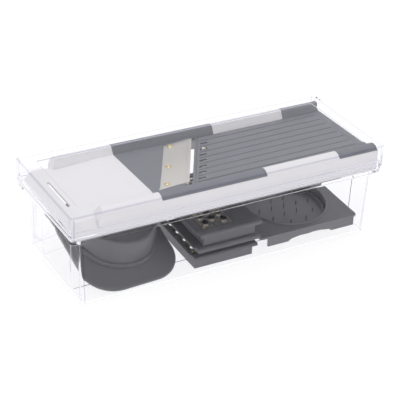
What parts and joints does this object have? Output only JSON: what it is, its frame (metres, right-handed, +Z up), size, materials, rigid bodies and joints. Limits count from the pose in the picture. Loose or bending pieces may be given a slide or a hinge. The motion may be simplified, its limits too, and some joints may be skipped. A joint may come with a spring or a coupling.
{
  "type": "mandoline slicer",
  "caption": "Clear lidded storage box carrying a white slicing frame with a diagonal steel blade and a ribbed grey runway; guard, carriage and spare cassettes inside.",
  "frame": {"origin": "centre of the storage box's bottom face, on the table", "axes": "+X along the slicer from its landing end to its runway end, +Y across it to the back, +Z up"},
  "size_m": [0.37, 0.141, 0.1067],
  "materials": {
    "clear_box": "clear polystyrene, glossy",
    "clear_lid": "clear polystyrene, glossy",
    "white_frame": "satin moulded plastic",
    "grey_insert": "satin moulded plastic",
    "dark_guard": "satin moulded plastic",
    "grey_cassette": "satin moulded plastic",
    "blade_steel": "fine brushed",
    "brass_rivet": "polished"
  },
  "bodies": {
    "box": {"storage_box": "clear_box"},
    "lid": {"storage_lid": "clear_lid"},
    "slicer": {"slicer_frame": "white_frame", "runway_end": "grey_insert"},
    "insert": {"blade_insert": "grey_insert", "slicing_blade": "blade_steel", "blade_rivet_1": "brass_rivet", "blade_rivet_2": "brass_rivet", "blade_rivet_3": "brass_rivet"},
    "runway": {"runway_plate": "grey_insert"},
    "julienne": {"julienne_carrier": "grey_insert", "julienne_comb": "blade_steel", "julienne_pin": "blade_steel"},
    "guard": {"food_guard": "dark_guard", "guard_ring": "dark_guard"},
    "carriage": {"carriage": "grey_cassette"},
    "pusher": {"pusher_disk": "grey_cassette", "pusher_prongs": "blade_steel"},
    "cassette_1": {"cassette_1_frame": "grey_cassette", "cassette_1_strip": "blade_steel", "cassette_1_rivets": "brass_rivet"},
    "cassette_2": {"cassette_2_frame": "grey_cassette", "cassette_2_blade": "blade_steel", "cassette_2_rivets": "brass_rivet"},
    "cassette_3": {"cassette_3_frame": "grey_cassette", "cassette_3_grater": "blade_steel", "cassette_3_rivets": "brass_rivet"}
  },
  "joints": [
    {"name": "lid_lift", "type": "slide", "parent": "box", "child": "lid", "axis": [0, 0, 1], "range_m": [0, 0.3]},
    {"name": "slicer_lift", "type": "slide", "parent": "box", "child": "slicer", "axis": [0, 0, 1], "range_m": [0, 0.21]},
    {"name": "insert_lift", "type": "slide", "parent": "slicer", "child": "insert", "axis": [0, 0, 1], "range_m": [0, 0.03]},
    {"name": "guard_lift", "type": "slide", "parent": "box", "child": "guard", "axis": [0, 0, 1], "range_m": [0, 0.12]},
    {"name": "carriage_lift", "type": "slide", "parent": "box", "child": "carriage", "axis": [0, 0, 1], "range_m": [0, 0.12]},
    {"name": "cassette_1_lift", "type": "slide", "parent": "box", "child": "cassette_1", "axis": [0, 0, 1], "range_m": [0, 0.12]},
    {"name": "cassette_2_lift", "type": "slide", "parent": "box", "child": "cassette_2", "axis": [0, 0, 1], "range_m": [0, 0.126]},
    {"name": "cassette_3_lift", "type": "slide", "parent": "box", "child": "cassette_3", "axis": [0, 0, 1], "range_m": [0, 0.132]},
    {"name": "runway_tilt", "type": "hinge", "parent": "slicer", "child": "runway", "pos_m": [0.164, 0, 0.0904], "axis": [0, -1, 0], "range_deg": [0, 2]},
    {"name": "julienne_rise", "type": "slide", "parent": "runway", "child": "julienne", "axis": [0, 0, 1], "range_m": [0, 0.005]},
    {"name": "pusher_slide", "type": "slide", "parent": "carriage", "child": "pusher", "axis": [0, 0, 1], "range_m": [0, 0.02]}
  ],
  "couplings": [
    {"joint": "slicer_lift", "follows": "lid_lift", "ratio": 0.7},
    {"joint": "insert_lift", "follows": "lid_lift", "ratio": 0.1},
    {"joint": "guard_lift", "follows": "lid_lift", "ratio": 0.4},
    {"joint": "carriage_lift", "follows": "lid_lift", "ratio": 0.4},
    {"joint": "cassette_1_lift", "follows": "lid_lift", "ratio": 0.4},
    {"joint": "cassette_2_lift", "follows": "lid_lift", "ratio": 0.42},
    {"joint": "cassette_3_lift", "follows": "lid_lift", "ratio": 0.44}
  ]
}
